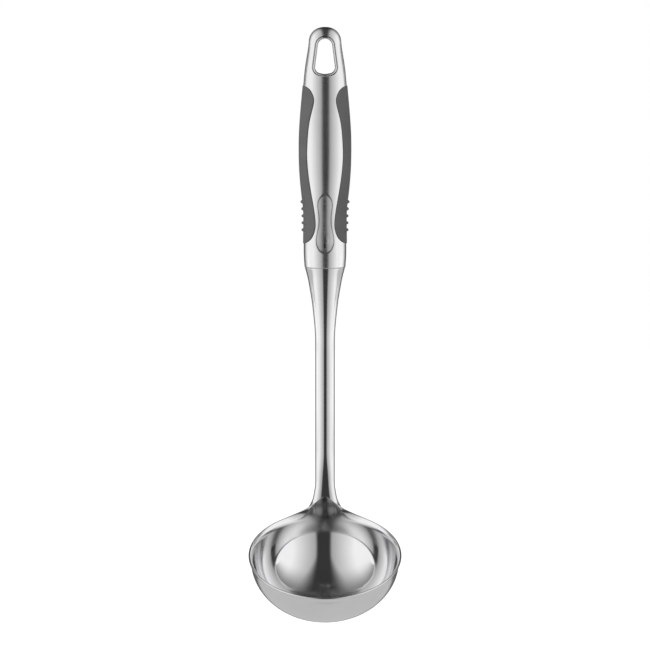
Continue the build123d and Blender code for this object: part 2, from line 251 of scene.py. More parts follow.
class Shader:
    """A node material while it is being wired."""

    def __init__(self, name: str) -> None:
        """Starts the material with its usual surface shader."""
        self.material = bpy.data.materials.new(name)
        self.material.use_nodes = True
        self.tree = self.material.node_tree
        self.surface = self.tree.nodes["Principled BSDF"]

    def add(self, kind: str, **settings: object) -> bpy.types.Node:
        """Adds a node and sets its properties."""
        node = self.tree.nodes.new(kind)
        for key, value in settings.items():
            setattr(node, key, value)
        return node

    def link(self, source: bpy.types.NodeSocket, target: bpy.types.NodeSocket) -> None:
        """Joins an output to an input."""
        self.tree.links.new(source, target)

    def math(self, operation: str, *values: bpy.types.NodeSocket | float) -> bpy.types.NodeSocket:
        """Result of a maths node on outputs and plain numbers, in the order of its inputs."""
        node = self.add("ShaderNodeMath", operation=operation)
        for value, target in zip(values, node.inputs):
            if isinstance(value, bpy.types.NodeSocket):
                self.link(value, target)
            else:
                target.default_value = value
        return node.outputs["Value"]

    def place(self, scale: tuple[float, float, float], attribute: str = "") -> bpy.types.Node:
        """Coordinates of the piece, stretched by the scale.

        Args:
            scale: Features for each metre, or for each unit of the attribute.
            attribute: Name of a coordinate kept in the mesh, or nothing for the object's own.

        Returns:
            The mapping node.
        """
        mapping = self.add("ShaderNodeMapping")
        mapping.inputs["Scale"].default_value = scale
        if attribute:
            source = self.add("ShaderNodeAttribute", attribute_name=attribute)
            self.link(source.outputs["Vector"], mapping.inputs["Vector"])
        else:
            source = self.add("ShaderNodeTexCoord")
            self.link(source.outputs["Object"], mapping.inputs["Vector"])
        return mapping

    def noise(self, mapping: bpy.types.Node, detail: float, rough: float) -> bpy.types.Node:
        """Cloudy pattern on a mapping."""
        node = self.add("ShaderNodeTexNoise")
        node.inputs["Scale"].default_value = 1.0
        node.inputs["Detail"].default_value = detail
        node.inputs["Roughness"].default_value = rough
        self.link(mapping.outputs["Vector"], node.inputs["Vector"])
        return node

    def range_of(
        self, source: bpy.types.NodeSocket, low: float, high: float
    ) -> bpy.types.NodeSocket:
        """A pattern's middle part, from 0.3 to 0.7, spread between low and high."""
        node = self.add("ShaderNodeMapRange")
        node.inputs["From Min"].default_value = 0.3
        node.inputs["From Max"].default_value = 0.7
        node.inputs["To Min"].default_value = low
        node.inputs["To Max"].default_value = high
        self.link(source, node.inputs["Value"])
        return node.outputs["Result"]

    def tint(
        self,
        source: bpy.types.NodeSocket,
        dark: tuple[float, float, float],
        light: tuple[float, float, float],
    ) -> None:
        """Lets a pattern move the base colour between two tints."""
        ramp = self.add("ShaderNodeValToRGB")
        ramp.color_ramp.elements[0].position = 0.3
        ramp.color_ramp.elements[0].color = (*dark, 1)
        ramp.color_ramp.elements[1].position = 0.7
        ramp.color_ramp.elements[1].color = (*light, 1)
        self.link(source, ramp.inputs["Fac"])
        self.link(ramp.outputs["Color"], self.surface.inputs["Base Color"])

    def gain(self, mark: str, factor: float, base: bpy.types.NodeSocket) -> bpy.types.NodeSocket:
        """A value raised by the mesh's mark times a factor."""
        source = self.add("ShaderNodeAttribute", attribute_name=mark)
        return self.math("MULTIPLY_ADD", source.outputs["Fac"], factor, base)

    def blend_tint(self, mark: str, tint: tuple[float, float, float]) -> None:
        """Moves the base colour towards a tint where the mesh's mark is high."""
        source = self.add("ShaderNodeAttribute", attribute_name=mark)
        blend = self.add("ShaderNodeMix", data_type="RGBA")
        colour = self.surface.inputs["Base Color"]
        self.link(source.outputs["Fac"], blend.inputs["Factor"])
        self.link(colour.links[0].from_socket, blend.inputs[MIX_COLOUR_A])
        blend.inputs[MIX_COLOUR_B].default_value = (*tint, 1)
        self.link(blend.outputs[MIX_COLOUR_OUT], colour)

    def relief(self, source: bpy.types.NodeSocket, strength: float, height: float) -> None:
        """Turns a pattern into a fine relief of that height in metres."""
        bump = self.add("ShaderNodeBump")
        bump.inputs["Strength"].default_value = strength
        bump.inputs["Distance"].default_value = height
        self.link(source, bump.inputs["Height"])
        self.link(bump.outputs["Normal"], self.surface.inputs["Normal"])


@dataclass(frozen=True)
class Steel:
    """Stainless steel polished along one direction, with finer and duller patches."""

    name: str
    dark: tuple[float, float, float] = (0.83, 0.83, 0.835)
    light: tuple[float, float, float] = (0.88, 0.88, 0.885)
    rough_low: float = 0.15
    rough_high: float = 0.22
    grain_scale: tuple[float, float, float] = (5200.0, 5200.0, 60.0)
    grain_height: float = 2.0e-6
    attribute: str = ""
    grain_share: float = 0.6
    cloud_scale: float = 55.0
    soft_gain: float = 0.0
    painted_shade_tint: tuple[float, float, float] | None = None

    def material(self) -> bpy.types.Material:
        """Fine grain in the relief and the roughness, and broad clouds in the tint."""
        shader = Shader(self.name)
        shader.surface.inputs["Metallic"].default_value = 1.0
        grain = shader.noise(shader.place(self.grain_scale, self.attribute), 3.0, 0.6)
        clouds = shader.noise(shader.place((self.cloud_scale,) * 3), 4.0, 0.55)
        cloud_part = shader.math("MULTIPLY", clouds.outputs["Fac"], 1 - self.grain_share)
        mixed = shader.math("MULTIPLY_ADD", grain.outputs["Fac"], self.grain_share, cloud_part)
        rough = shader.range_of(mixed, self.rough_low, self.rough_high)
        if self.soft_gain:
            rough = shader.gain("soft", self.soft_gain, rough)
        shader.link(rough, shader.surface.inputs["Roughness"])
        shader.tint(clouds.outputs["Fac"], self.dark, self.light)
        # Painted shade: where the mesh's mark is high, the base colour is pulled towards a dark
        # tint.
        if self.painted_shade_tint:
            shader.blend_tint("painted_dish_shade", self.painted_shade_tint)
        shader.relief(grain.outputs["Fac"], 0.35, self.grain_height)
        return shader.material


@dataclass(frozen=True)
class SoftGrip:
    """Soft moulded grip, matte, with the fine sparkle of an eroded mould."""

    name: str
    dark: tuple[float, float, float] = (0.105, 0.105, 0.108)
    light: tuple[float, float, float] = (0.125, 0.125, 0.128)
    rough_low: float = 0.62
    rough_high: float = 0.78
    pore_scale: float = 5200.0
    pore_height: float = 1.6e-5
    cloud_scale: float = 90.0

    def material(self) -> bpy.types.Material:
        """Pores in the relief, slow clouds in the tint, and handled patches in the gloss."""
        shader = Shader(self.name)
        pores = shader.noise(shader.place((self.pore_scale,) * 3), 2.0, 0.5)
        clouds = shader.noise(shader.place((self.cloud_scale,) * 3), 4.0, 0.5)
        shader.surface.inputs["Specular IOR Level"].default_value = 0.35
        rough = shader.range_of(clouds.outputs["Fac"], self.rough_low, self.rough_high)
        shader.link(rough, shader.surface.inputs["Roughness"])
        shader.tint(clouds.outputs["Fac"], self.dark, self.light)
        shader.relief(pores.outputs["Fac"], 0.5, self.pore_height)
        return shader.material


# Handle


@dataclass
class HandleForm:
    """Outer form of the hollow handle: oval sections that close in a rounded tip."""

    length: float = 133.45
    width: float = 28.9
    depth: float = 20.2
    tip_height: float = 8.8
    tip_top: float = 10.65
    tip_width_power: float = 0.91
    tip_depth_power: float = 0.75
    tip_turns: tuple[float, ...] = (20, 38, 54, 67, 77, 84)
    outline: tuple[tuple[float, float, float], ...] = (
        (0.000, 0.801, 0.822),
        (0.040, 0.827, 0.851),
        (0.085, 0.837, 0.880),
        (0.140, 0.834, 0.901),
        (0.205, 0.826, 0.916),
        (0.255, 0.834, 0.936),
        (0.310, 0.882, 0.960),
        (0.370, 0.939, 0.985),
        (0.430, 0.979, 1.000),
        (0.510, 1.000, 1.000),
        (0.590, 0.993, 0.979),
        (0.670, 0.953, 0.921),
        (0.750, 0.894, 0.832),
        (0.830, 0.828, 0.723),
        (0.910, 0.750, 0.614),
        (1.000, 0.630, 0.495),
    )
    window: tuple[tuple[float, float], ...] = (
        (0.930, 0.819),
        (0.768, 0.810),
        (0.602, 0.796),
        (0.478, 0.773),
        (0.426, 0.748),
        (0.450, 0.726),
        (0.588, 0.661),
        (0.678, 0.573),
        (0.699, 0.516),
        (0.661, 0.434),
        (0.567, 0.355),
        (0.446, 0.275),
        (0.381, 0.219),
        (0.374, 0.187),
        (0.432, 0.156),
        (0.547, 0.131),
        (0.768, 0.111),
        (0.930, 0.104),
    )
    trough_depth: float = 1.8
    trough_reach: float = 10.0
    trough: tuple[tuple[float, float], ...] = (
        (0.060, -0.400),
        (0.071, 0.100),
        (0.090, 0.620),
        (0.128, 0.980),
        (0.172, 0.660),
        (0.209, 0.480),
        (0.250, 0.560),
        (0.284, 0.690),
        (0.308, 0.480),
        (0.328, 0.050),
        (0.350, -0.300),
    )
    crease: float = 0.1

    def __post_init__(self) -> None:
        """Works out the profile and the outlines that the pieces share."""
        self.seam = self.tip_top - self.length
        self.straight = self.length - self.tip_height
        rows = np.array(self.outline)
        flank = np.stack(
            (
                self.seam + self.straight * rows[:, 0],
                self.width / 2 * rows[:, 1],
                self.depth / 2 * rows[:, 2],
            ),
            axis=-1,
        )
        turns = np.radians(self.tip_turns)
        tip = np.stack(
            (
                flank[-1, 0] + self.tip_height * np.sin(turns) ** self.tip_width_power,
                flank[-1, 1] * np.cos(turns) ** self.tip_width_power,
                flank[-1, 2] * np.cos(turns) ** self.tip_depth_power,
            ),
            axis=-1,
        )
        rising = np.concatenate((flank, tip))
        past_tip = rising[::-1][:6] * (1, -1, -1)
        pole = np.array([[self.tip_top, 0.0, 0.0]])
        whole = curve_through(np.concatenate((rising, pole, past_tip)), 9001)
        upto = int(np.argmax(whole[:, 1] <= 0))
        self.profile = np.concatenate((whole[:upto], pole))
        steps = np.linalg.norm(np.diff(self.profile[:, :2], axis=0), axis=1)
        self.run = np.concatenate(([0.0], np.cumsum(steps)))
        edge = np.array(self.window) * (self.width / 2, self.straight) + (0, self.seam)
        self.edge = curve_through(edge, 1200)[::-1]
        bottle = np.array(self.trough)
        heights = np.linspace(bottle[0, 0], bottle[-1, 0], 600)
        depths = smooth_curve(bottle[:, 0], bottle[:, 1:], heights)[:, 0]
        self.trough_levels = self.seam + self.straight * heights
        middle = self.section(self.trough_levels)[1]
        self.trough_axis = -(self.depth / 2 + self.trough_reach)
        self.trough_radii = -self.trough_axis - middle + self.trough_depth * depths

    def section(self, levels: np.ndarray) -> tuple[np.ndarray, np.ndarray]:
        """Half width and half depth of the handle at the levels."""
        wide = np.interp(levels, self.profile[:, 0], self.profile[:, 1])
        deep = np.interp(levels, self.profile[:, 0], self.profile[:, 2])
        return wide, deep

    def skin_depth(self, across: np.ndarray, levels: np.ndarray) -> np.ndarray:
        """Distance of the outer skin from the middle plane, d * sqrt(1 - (x / w)^2)."""
        wide, deep = self.section(levels)
        return deep * np.sqrt(np.clip(1 - (across / np.maximum(wide, 1e-6)) ** 2, 0, 1))

    @staticmethod
    def oval(
        turn: np.ndarray, height: np.ndarray, wide: np.ndarray, deep: np.ndarray
    ) -> tuple[np.ndarray, np.ndarray]:
        """Points (w sin t, d cos t) of an oval, moved out along its normal by the height.

        Args:
            turn: Turn t from the front, in radians, for each row and column.
            height: How far each point is moved out.
            wide: Half width w of each row.
            deep: Half depth d of each row.

        Returns:
            How far to the side and how far out from the middle plane.
        """
        away = np.stack((np.sin(turn) * deep, np.cos(turn) * wide), axis=-1)
        away = away / np.maximum(np.linalg.norm(away, axis=-1, keepdims=True), 1e-9)
        across = wide * np.sin(turn) + height * away[..., 0]
        return across, deep * np.cos(turn) + height * away[..., 1]

    def edge_turn(self, levels: np.ndarray, wide: np.ndarray) -> np.ndarray:
        """Turn from the front at which the steel ends: a quarter turn, or less in a window."""
        edge = np.interp(levels, self.edge[:, 1], self.edge[:, 0], left=1e3, right=1e3)
        return np.arcsin(np.clip(edge / np.maximum(wide, 1e-6), 0, 1))

    def window_ends(self) -> tuple[float, float]:
        """Levels where the window's outline crosses the flank."""
        inside = self.edge[:, 0] < self.section(self.edge[:, 1])[0]
        levels = self.edge[inside, 1]
        return float(levels.min()), float(levels.max())

    def press_trough(self, across: np.ndarray, levels: np.ndarray, front: np.ndarray) -> np.ndarray:
        """Front skin with the thumb trough: the deeper of the skin and a bottle in front of it.

        The bottle turns about an upright axis in front of the handle, so its skin is
        axis + sqrt(R^2 - x^2), where R is its radius at the level.
        """
        radii = np.interp(levels, self.trough_levels, self.trough_radii, left=0, right=0)
        bottle = self.trough_axis + np.sqrt(np.clip(radii**2 - across**2, 0, None))
        pressed = soft_max(front, bottle, self.crease)
        within = (levels > self.trough_levels[0]) & (levels < self.trough_levels[-1])
        return np.where(within, pressed, front)


@dataclass
class HangHole:
    """Outline of the hang hole: the hull round a top circle, a foot circle and two corners."""

    top_radius: float = 4.0
    length: float = 19.2
    foot_width: float = 11.0
    foot_radius: float = 5.0
    corner_radius: float = 3.4
    corner_rise: float = 0.35

    def outline(self, grow: float, count: int) -> tuple[np.ndarray, np.ndarray]:
        """Evenly spaced points round the hole and their outward directions.

        In each direction the hull's point is that of the circle that reaches furthest. The
        points are then respaced by the length of the outline.

        Args:
            grow: How far outside the hole's edge.
            count: How many points.

        Returns:
            Points as x and z, and directions as x and z.
        """
        foot = self.top_radius - self.length
        corner = self.foot_width / 2 - self.corner_radius
        corner_level = foot + self.corner_rise + self.corner_radius
        centres = np.array(
            [(0, 0), (0, foot + self.foot_radius), (-corner, corner_level), (corner, corner_level)]
        )
        radii = np.array(
            [self.top_radius, self.foot_radius, self.corner_radius, self.corner_radius]
        )
        turns = np.linspace(0, 2 * pi, 2881)
        ways = np.stack((np.sin(turns), np.cos(turns)), axis=-1)
        furthest = np.argmax(ways @ centres.T + radii, axis=1)
        hull = centres[furthest] + (radii[furthest] + grow)[:, None] * ways
        steps = np.linalg.norm(np.diff(hull, axis=0), axis=1)
        run = np.concatenate(([0.0], np.cumsum(steps)))
        places = np.linspace(0, run[-1], count, endpoint=False)
        points = np.stack([np.interp(places, run, hull[:, axis]) for axis in (0, 1)], axis=-1)
        along = np.roll(points, -1, axis=0) - np.roll(points, 1, axis=0)
        outward = np.stack((-along[:, 1], along[:, 0]), axis=-1)
        return points, outward / np.linalg.norm(outward, axis=1, keepdims=True)

    def half_width(self, levels: np.ndarray, grow: float) -> np.ndarray:
        """Half width of the hole at the levels, and 0 above and below it."""
        points, _ = self.outline(grow, 1440)
        right = points[points[:, 0] >= 0]
        order = np.argsort(right[:, 1])
        return np.interp(levels, right[order, 1], right[order, 0], left=0, right=0)

    def ends(self, grow: float) -> tuple[float, float]:
        """Lowest and highest level of the hole."""
        return self.top_radius - self.length - grow, self.top_radius + grow


@dataclass
class HandleShell:
    """One pressing of the handle, with its window edges rolled in and the hang hole cut."""

    form: HandleForm
    hole: HangHole
    half: Half
    wall: float = 0.8
    hole_grow: float = 1.5
    row_step: float = 0.4
    columns: int = 34
    roll_columns: int = 4
    window_roll: float = 0.35
    flank_roll: float = 0.12
    window_ease: float = 0.12
    most_roll_share: float = 0.2
    crowding: float = 0.9
    row_reach: float = 1.6
    least_press: float = 0.1

    def surface(self) -> Surface:
        """Loops of points from the middle or the hole to the edge, and back along the inside.

        Row by row the skin is (w sin t, -d cos t), where t runs from the hole's edge to the
        window's edge. The last columns follow a quarter circle inwards, and the way back is the
        same section drawn in by the wall.
        """
        form = self.form
        ends = (*form.window_ends(), *self.hole.ends(self.hole_grow))
        starts = np.interp(ends, form.profile[:, 0], form.run)
        plain = np.linspace(0, form.run[-1], int(form.run[-1] / self.row_step))
        run = with_rows_near(plain, starts, self.row_reach)
        level, wide, deep = (
            np.interp(run, form.run, values)[:, None] for values in form.profile.T
        )
        slope_wide = np.gradient(wide[:, 0], run)[:, None]
        slope_level = np.gradient(level[:, 0], run)[:, None]
        edge = form.edge_turn(level, wide)
        opening = self.hole.half_width(level, self.hole_grow)
        start = np.arcsin(np.clip(opening / np.maximum(wide, 1e-6), 0, 1))
        in_window = ease(pi / 2 - edge, 0, self.window_ease)
        roll = self.flank_roll + (self.window_roll - self.flank_roll) * in_window
        roll = np.minimum(roll, self.most_roll_share * wide)
        shares = np.linspace(0, 1, self.columns) ** self.crowding
        stretch = np.hypot(wide * np.cos(edge), deep * np.sin(edge)) + 1e-6
        last = np.maximum(edge - roll / stretch, start)
        turn_skin = start + (last - start) * shares
        roll_turns = np.linspace(0, pi / 2, self.roll_columns + 1)[1:]
        turn_roll = last + (edge - last) * np.sin(roll_turns)
        turn = np.concatenate((turn_skin, turn_roll), axis=1)
        inward = np.concatenate(
            (np.zeros_like(turn_skin), roll * (1 - np.cos(roll_turns))), axis=1
        )
        outer = self.skin(turn, inward, level, wide, deep)
        thin_wide = np.maximum(wide - self.wall * np.clip(slope_level, 0, 1), 0)
        thin_deep = np.maximum(deep - self.wall * np.clip(slope_level, 0, 1), 0)
        lowered = np.clip(slope_wide, -1, 0) * ease(level, 0, form.tip_top)
        thin_level = level + self.wall * lowered
        inner = self.skin(turn, np.zeros_like(turn), thin_level, thin_wide, thin_deep)
        loops = np.concatenate((outer, inner[:, ::-1]), axis=1)
        rows, columns = loops.shape[:2]
        quads = loop_faces(rows, columns)
        open_row = start[:, 0] > 0
        closing = open_row[:-1] | open_row[1:]
        kept = np.ones((rows - 1, columns), dtype=bool)
        kept[:, -1] = closing
        cap = cap_faces(0, columns)
        faces = np.concatenate((quads[kept], cap))
        points = loops.reshape(-1, 3)
        press = points[:, 1] + form.skin_depth(points[:, 0], points[:, 2])
        pressed = press > self.least_press
        outside = np.arange(columns) < columns // 2
        in_trough = pressed & np.broadcast_to(outside, (rows, columns)).ravel()
        finish = in_trough[faces].all(axis=1) & (self.half is Half.FRONT)
        right = Surface(points, faces, finish)
        return right.joined(right.mirrored())

    def skin(
        self,
        turn: np.ndarray,
        inward: np.ndarray,
        level: np.ndarray,
        wide: np.ndarray,
        deep: np.ndarray,
    ) -> np.ndarray:
        """Points of an oval section, drawn in along its normal and pressed by the trough.

        Args:
            turn: Turn from the front, in radians, for each row and column.
            inward: How far each point is drawn in.
            level: Height of each row.
            wide: Half width of each row.
            deep: Half depth of each row.

        Returns:
            Rows by columns by 3.
        """
        across, out = self.form.oval(turn, -inward, wide, deep)
        heights = np.broadcast_to(level, across.shape)
        if self.half is Half.FRONT:
            out = np.minimum(self.form.press_trough(across, heights, -out), 0)
        return np.stack((across, out, heights), axis=-1)


@dataclass
class HoleLiner:
    """Rolled liner of the hang hole: a bead that stands proud of both shells."""

    form: HandleForm
    hole: HangHole
    wall: float = 1.4
    proud: float = 0.2
    count: int = 220
    seat_points: int = 3
    bead: tuple[tuple[float, float], ...] = (
        (1.18, -0.60),
        (1.18, -0.30),
        (1.15, -0.10),
        (1.06, 0.06),
        (0.92, 0.16),
        (0.76, 0.20),
        (0.60, 0.16),
        (0.46, 0.03),
        (0.32, -0.22),
        (0.18, -0.50),
        (0.07, -0.76),
        (0.00, -1.05),
    )

    def surface(self) -> Surface:
        """Ring of closed sections: the front bead, the hole's wall, the back bead, the seat.

        A section's point lies a share of the wall outside the hole's edge, and its depth is that
        of the handle's skin there plus the bead's height.
        """
        edge, outward = self.hole.outline(0, self.count)
        bead = np.array(self.bead)
        offset = bead[:, 0] * self.wall / 1.4
        height = bead[:, 1] * self.proud / 0.2
        across = edge[:, 0, None] + outward[:, 0, None] * offset
        level = edge[:, 1, None] + outward[:, 1, None] * offset
        depth = self.form.skin_depth(across, level) + height
        front = np.stack((across, -depth, level), axis=-1)
        back = np.stack((across, depth, level), axis=-1)[:, ::-1]
        shares = np.linspace(0, 1, 8)[1:-1][None, :, None]
        wall = front[:, -1:] * (1 - shares) + back[:, :1] * shares
        seat = back[:, -1:] * (1 - shares) + front[:, :1] * shares
        loops = np.concatenate((front, wall, back, seat), axis=1)
        rows, columns = loops.shape[:2]
        ring = np.concatenate((loops, loops[:1]))
        quads = loop_faces(rows + 1, columns)
        # Painted shade: the bead's flanks next to the shells and the seat between them get a dark
        # steel, which draws the dark line of the groove between the liner and the shells.
        column = np.arange(columns)
        last = 2 * len(bead) + shares.shape[1]
        seat = (column < self.seat_points - 1) | (column > last - self.seat_points)
        finish = np.broadcast_to(seat, quads.shape[:2])
        return Surface(ring.reshape(-1, 3), quads.reshape(-1, 4), finish.ravel())


@dataclass
class SideGrip:
    """Soft grip in a side window, with finger ribs across its flank."""

    form: HandleForm
    side: Side
    proud: float = 0.3
    wall: float = 2.2
    gap: float = 0.1
    edge_round: float = 0.45
    columns: int = 49
    row_step: float = 0.3
    rib_count: int = 5
    rib_pitch: float = 3.95
    rib_first: float = 36.8
    rib_bead: float = 0.85
    rib_sweep: float = 4.5
    rib_rise: float = 1.0
    rib_crease: float = 0.05
    row_reach: float = 1.5
    least_half_turn: float = 0.004
    fall_share: float = 1.6

    def surface(self) -> Surface:
        """Loops from the window's front edge round the flank to its back edge, and back inside.

        The skin stands proud of the steel and falls away near its edges as a circle does,
        r - sqrt(r^2 - (r - e)^2), where e is the distance from the edge.
        """
        form = self.form
        low, high = form.window_ends()
        plain = np.linspace(low + self.gap, high - self.gap, int((high - low) / self.row_step))
        level = with_rows_near(plain, (plain[0], plain[-1]), self.row_reach)[:, None]
        wide, deep = form.section(level)
        stretch = np.hypot(wide * np.cos(1.2), deep * np.sin(1.2))
        edge = form.edge_turn(level, wide) + self.gap / stretch
        edge = np.minimum(edge, pi / 2 - self.least_half_turn)
        shares = np.sin(np.linspace(-pi / 2, pi / 2, self.columns))
        turn = pi / 2 + (pi / 2 - edge) * shares
        away = (1 - np.abs(shares)) * (pi / 2 - edge) * deep
        short = np.clip(self.edge_round - away, 0, self.edge_round)
        fall = self.edge_round - np.sqrt(np.clip(self.edge_round**2 - short**2, 0, None))
        height = self.proud - self.fall_share * fall
        outer = self.skin(turn, height, level, wide, deep)
        outer[..., 0] += self.ribs(outer)
        inner = self.skin(turn, np.full_like(turn, -self.wall), level, wide, deep)
        loops = np.concatenate((outer, inner[:, ::-1]), axis=1)
        rows, columns = loops.shape[:2]
        loops[..., 0] *= self.side.value
        faces = np.concatenate(
            (
                loop_faces(rows, columns).reshape(-1, 4),
                cap_faces(0, columns),
                cap_faces((rows - 1) * columns, columns),
            )
        )
        return Surface(loops.reshape(-1, 3), faces)

    def skin(
        self,
        turn: np.ndarray,
        height: np.ndarray,
        level: np.ndarray,
        wide: np.ndarray,
        deep: np.ndarray,
    ) -> np.ndarray:
        """Oval section moved outwards by the height along its normal, as rows by columns by 3."""
        across, out = self.form.oval(turn, height, wide, deep)
        return np.stack((across, -out, np.broadcast_to(level, across.shape)), axis=-1)

    def ribs(self, points: np.ndarray) -> np.ndarray:
        """How far the ribs lift the skin outwards.

        A rib is a bead bent along an arc: at height z from its middle and depth y it reaches
        c + sqrt((R + sqrt(b^2 - z^2))^2 - y^2), with b the bead's radius and R the arc's.
        """
        form = self.form
        heights = self.rib_first - self.rib_pitch * np.arange(self.rib_count)
        levels = form.seam + heights
        flank = form.section(levels)[0] + self.proud
        centre = flank + self.rib_rise - self.rib_bead - self.rib_sweep
        off = points[..., 2, None] - levels
        bead = np.sqrt(np.clip(self.rib_bead**2 - off**2, 0, None))
        reach = centre + np.sqrt(
            np.clip((self.rib_sweep + bead) ** 2 - points[..., 1, None] ** 2, 0, None)
        )
        inside = self.rib_sweep + bead > np.abs(points[..., 1, None])
        above = np.where((bead > 0) & inside, reach - points[..., 0, None], -1.0)
        lifted = soft_max(above.max(axis=-1), np.zeros(points.shape[:2]), self.rib_crease)
        return np.where(lifted > 1.1 * self.rib_crease, lifted, 0.0)


# Bowl and shaft


@dataclass
class BowlForm:
    """Drawn bowl: half an ellipsoid whose lip flares, and rises into a tongue at the back."""

    radius: float = 41.0
    depth: float = 34.3
    wall: float = 1.0
    tilt: float = radians(18.25)
    lip_height: float = 3.4
    lip_radius: float = 4.94
    rim_y: float = -41.63
    rim_z: float = -277.5
    tongue_radius: float = 42.8
    tongue_wall: float = 0.75
    edge_rise: tuple[tuple[float, float], ...] = (
        (0.0, 9.95),
        (1.8, 9.6),
        (3.5, 8.75),
        (6.6, 7.05),
        (10.6, 5.2),
        (15.4, 3.1),
        (21.0, 1.35),
        (27.0, 0.45),
        (34.0, 0.08),
        (42.0, 0.0),
        (60.0, 0.0),
    )
    dish_rise: float = 2.6
    dish_depth: float = 0.4
    dish_radius: float = 6.6
    wall_lean: float = 0.16
    wall_fall: float = 1.6
    bend_turns: tuple[float, float] = (9.0, 30.0)
    columns: int = 360
    wall_rows: int = 74
    lip_rows: int = 24

    def __post_init__(self) -> None:
        """Sets the directions of the bowl's own frame."""
        self.centre = np.array((0.0, self.rim_y, self.rim_z))
        self.normal = np.array((0.0, -sin(self.tilt), cos(self.tilt)))
        self.back = np.array((0.0, cos(self.tilt), sin(self.tilt)))
        table = np.array(self.edge_rise)
        self.rise_places = np.linspace(0, table[-1, 0], 241)
        self.rise_values = smooth_curve(table[:, 0], table[:, 1:], self.rise_places)[:, 0]

    def edge_height(self, off_back: np.ndarray) -> np.ndarray:
        """Height of the sheet's edge above the rim plane, by the turn away from the back."""
        turned = np.degrees(np.abs(off_back))
        return np.interp(turned, self.rise_places, self.rise_values)

    def bend(self, off_back: np.ndarray) -> np.ndarray:
        """Bend of the sheet above the wall: slight in the tongue, strong in the lip."""
        share = ease(np.degrees(np.abs(off_back)), *self.bend_turns)
        return (1 - share) / self.tongue_radius + share / self.lip_radius

    def lean(self, height: np.ndarray, off_back: np.ndarray) -> tuple[np.ndarray, np.ndarray]:
        """Reach and lean of the sheet's inner face at a height above the rim plane.

        Above the wall the sheet follows a circle, so with k its bend and g the height above the
        wall it leans by asin(k g) and reaches the wall's radius plus (1 - cos(lean)) / k.
        """
        bend = self.bend(off_back)
        grown = np.clip(bend * np.clip(height + self.lip_height, 0, None), 0, 0.98)
        turn = np.arcsin(grown)
        return self.radius - self.wall + (1 - np.cos(turn)) / bend, turn

    def drawn_in(self, height: np.ndarray) -> np.ndarray:
        """How far the inner face stands inside the sheet's even thickness at a height.

        It starts at the rim plane as c (1 - g / l)^2, with g the height above the wall and l
        the lip's height, and goes on below as (c + k t) (1 - t)^p down to the pole, where t is
        1. Both have the slope s at the top of the wall, so c is s l / 2, and k is s h + p c
        with h the wall's height.
        """
        tall = self.depth - self.lip_height - self.wall
        start = self.wall_lean * self.lip_height / 2
        rate = self.wall_lean * tall + self.wall_fall * start
        above = np.clip(-height / self.lip_height, 0, 1)
        down = np.clip(-(height + self.lip_height) / tall, 0, 1)
        lip_share = start * above**2
        wall_share = (start + rate * down) * (1 - down) ** self.wall_fall
        return np.where(height > -self.lip_height, lip_share, wall_share)

    def outer_reach(self, height: np.ndarray, off_back: np.ndarray) -> np.ndarray:
        """Distance of the outer face from the bowl's axis at a height above the rim plane."""
        reach, turn = self.lean(height, off_back)
        below = np.clip((height + self.lip_height) / (self.depth - self.lip_height), -1, 0)
        return np.where(
            height > -self.lip_height,
            reach + self.wall * np.cos(turn),
            self.radius * np.sqrt(1 - below**2),
        )

    def place(self, reach: np.ndarray, height: np.ndarray, turn: np.ndarray) -> np.ndarray:
        """Points in the row's frame from the distance to the axis, the height and the turn."""
        across = (reach * np.cos(turn))[..., None] * np.array((1.0, 0.0, 0.0))
        out = (reach * np.sin(turn))[..., None] * self.back
        return self.centre + across + out + height[..., None] * self.normal

    def dish(self, points: np.ndarray) -> np.ndarray:
        """How deep the dish is pressed at points given as x and height above the rim plane.

        It is depth * (1 + cos(pi r / R)) / 2 at the distance r from its middle, and above its
        middle it runs on as a channel.
        """
        return self.dish_depth * (1 + np.cos(pi * np.clip(self.off_dish(points), 0, 1))) / 2

    def off_dish(self, points: np.ndarray) -> np.ndarray:
        """Distance from the dish's middle, or from its channel's, as a share of its radius."""
        above = np.minimum(points[..., 1] - self.dish_rise, 0)
        return np.hypot(points[..., 0], above) / self.dish_radius


